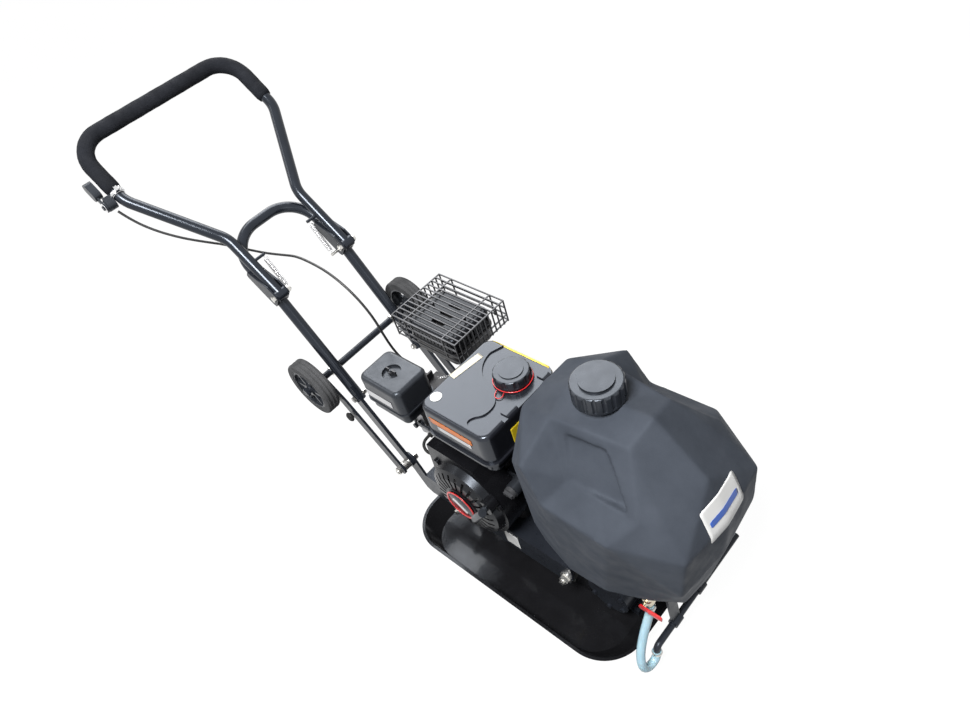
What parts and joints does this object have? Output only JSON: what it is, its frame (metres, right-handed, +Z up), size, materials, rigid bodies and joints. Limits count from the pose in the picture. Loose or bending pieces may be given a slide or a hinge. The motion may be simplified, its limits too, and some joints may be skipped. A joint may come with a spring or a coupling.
{
  "type": "plate compactor",
  "caption": "Walk-behind plate compactor: curved sole plate, belt-driven exciter, petrol engine on a rubber-mounted deck, water tank, swing-down wheels and folding handle",
  "frame": {"origin": "centre of the flat sole of the base plate, on the ground", "axes": "+X forwards from the handle to the water tank, +Y to the operator's left (belt side), +Z up"},
  "size_m": [1.4043, 0.4673, 0.9721],
  "materials": {
    "black_casting": "glossy black enamel",
    "black_paint": "satin black powder coat",
    "black_gloss": "gloss black enamel",
    "raw_aluminium": "as cast",
    "zinc": "zinc plated",
    "chrome": "bright",
    "steel": "machined",
    "rubber": "matte",
    "tyre_rubber": "matte grey-black",
    "tank_plastic": "rotomoulded, fine grain",
    "black_plastic": "satin",
    "grey_plastic": "satin",
    "red_plastic": "dipped",
    "brass": "nickelled brass",
    "hose": "translucent pale blue",
    "foam": "soft closed-cell foam"
  },
  "bodies": {
    "chassis": {"air_cleaner_base": "black_plastic", "air_cleaner_cover": "black_plastic", "ball_valve": "brass", "base_plate": "black_casting", "belt_guard": "black_paint", "blower_housing": "black_gloss", "carburettor": "raw_aluminium", "crankcase": "raw_aluminium", "cylinder_head": "raw_aluminium", "deck_bolts": "zinc", "drive_belt": "rubber", "engine_deck": "black_paint", "engine_switch": "black_plastic", "exciter_bearings": "steel", "exciter_housing": "black_gloss", "fuel_tank": "black_gloss", "governor_bracket": "zinc", "handle_hardware": "zinc", "hinge_brackets": "black_paint", "lower_handle_tube": "black_paint", "muffler": "steel", "muffler_shield": "black_gloss", "rocker_cover": "black_gloss", "rubber_mounts": "rubber", "spark_plug_cap": "rubber", "sprinkler_tube": "black_paint", "starter_cover": "black_gloss", "tank_bracket": "black_paint", "throttle_cable_lower": "rubber", "water_hose": "hose", "water_tank": "tank_plastic", "wire_cage": "zinc"},
    "crank": {"crankshaft": "steel", "flywheel": "raw_aluminium", "clutch_hub": "steel"},
    "clutch_drum": {"clutch_drum": "steel"},
    "exciter": {"exciter_shaft": "steel", "exciter_pulley": "steel"},
    "starter_grip": {"starter_grip": "black_plastic"},
    "fuel_cap": {"fuel_cap": "black_plastic"},
    "choke_lever": {"choke_lever": "black_plastic"},
    "fuel_valve_lever": {"fuel_valve_lever": "black_plastic"},
    "wing_nut": {"wing_nut": "zinc"},
    "governor_lever": {"governor_lever": "zinc"},
    "oil_cap": {"oil_cap": "grey_plastic"},
    "switch_knob": {"switch_knob": "red_plastic"},
    "water_cap": {"water_cap": "black_plastic"},
    "valve_lever": {"valve_lever": "red_plastic"},
    "carriage": {"carriage_arms": "black_paint", "wheel_axle": "steel"},
    "wheel_left": {"tyre_left": "tyre_rubber", "rim_left": "black_plastic"},
    "wheel_right": {"tyre_right": "tyre_rubber", "rim_right": "black_plastic"},
    "upper_handle": {"upper_handle_tube": "black_paint", "foam_grip": "foam", "throttle_clamp": "black_plastic", "fold_springs": "chrome", "throttle_cable_upper": "rubber"},
    "throttle_lever": {"throttle_lever": "black_plastic"}
  },
  "joints": [
    {"name": "crank_spin", "type": "hinge", "parent": "chassis", "child": "crank", "pos_m": [-0.09, 0, 0.26], "axis": [0, 1, 0], "continuous": true},
    {"name": "drum_spin", "type": "hinge", "parent": "chassis", "child": "clutch_drum", "pos_m": [-0.09, 0, 0.26], "axis": [0, 1, 0], "continuous": true},
    {"name": "exciter_spin", "type": "hinge", "parent": "chassis", "child": "exciter", "pos_m": [0.205, 0, 0.08], "axis": [0, 1, 0], "continuous": true},
    {"name": "starter_pull", "type": "slide", "parent": "chassis", "child": "starter_grip", "axis": [0, -1, 0], "range_m": [0, 0.6], "stiffness_N_per_m": 6, "springref_m": -0.05},
    {"name": "fuel_cap_turn", "type": "hinge", "parent": "chassis", "child": "fuel_cap", "pos_m": [-0.048, 0.044, 0.496], "axis": [0, 0, 1], "range_deg": [0, 90]},
    {"name": "choke", "type": "hinge", "parent": "chassis", "child": "choke_lever", "pos_m": [-0.258, -0.084, 0.384], "axis": [0, 1, 0], "range_deg": [0, 60]},
    {"name": "fuel_valve", "type": "hinge", "parent": "chassis", "child": "fuel_valve_lever", "pos_m": [-0.238, -0.084, 0.366], "axis": [0, 1, 0], "range_deg": [0, 75]},
    {"name": "wing_nut_turn", "type": "hinge", "parent": "chassis", "child": "wing_nut", "pos_m": [-0.2755, -0.078, 0.5], "axis": [0, 0, 1], "range_deg": [0, 720]},
    {"name": "governor_swing", "type": "hinge", "parent": "chassis", "child": "governor_lever", "pos_m": [-0.214, -0.006, 0.424], "axis": [0, 0, 1], "range_deg": [0, 30]},
    {"name": "oil_cap_turn", "type": "hinge", "parent": "chassis", "child": "oil_cap", "pos_m": [-0.0037, 0.03, 0.21224], "axis": [0.7809, 0, 0.6247], "range_deg": [0, 720]},
    {"name": "switch_turn", "type": "hinge", "parent": "chassis", "child": "switch_knob", "pos_m": [0.016, -0.098, 0.322], "axis": [0, 1, 0], "range_deg": [0, 60]},
    {"name": "water_cap_turn", "type": "hinge", "parent": "chassis", "child": "water_cap", "pos_m": [0.212, 0, 0.64], "axis": [0, 0, 1], "range_deg": [0, 720]},
    {"name": "valve_turn", "type": "hinge", "parent": "chassis", "child": "valve_lever", "pos_m": [0.322, -0.106, 0.214], "axis": [0, 1, 0], "range_deg": [0, 90]},
    {"name": "carriage_swing", "type": "hinge", "parent": "chassis", "child": "carriage", "pos_m": [-0.335, 0, 0.185], "axis": [0, -1, 0], "range_deg": [0, 77]},
    {"name": "wheel_left_spin", "type": "hinge", "parent": "carriage", "child": "wheel_left", "pos_m": [-0.5076, 0, 0.40639], "axis": [0, 1, 0], "continuous": true},
    {"name": "wheel_right_spin", "type": "hinge", "parent": "carriage", "child": "wheel_right", "pos_m": [-0.5076, 0, 0.40639], "axis": [0, 1, 0], "continuous": true},
    {"name": "handle_fold", "type": "hinge", "parent": "chassis", "child": "upper_handle", "pos_m": [-0.56855, 0, 0.61399], "axis": [0, 1, 0], "range_deg": [0, 130], "deforming": ["fold_springs"]},
    {"name": "throttle_turn", "type": "hinge", "parent": "upper_handle", "child": "throttle_lever", "pos_m": [-0.85013, -0.2365, 0.85415], "axis": [0, 1, 0], "range_deg": [0, 60]}
  ],
  "couplings": [
    {"joint": "exciter_spin", "follows": "drum_spin", "ratio": 1.3636},
    {"joint": "governor_swing", "follows": "throttle_turn", "ratio": 0.5}
  ]
}
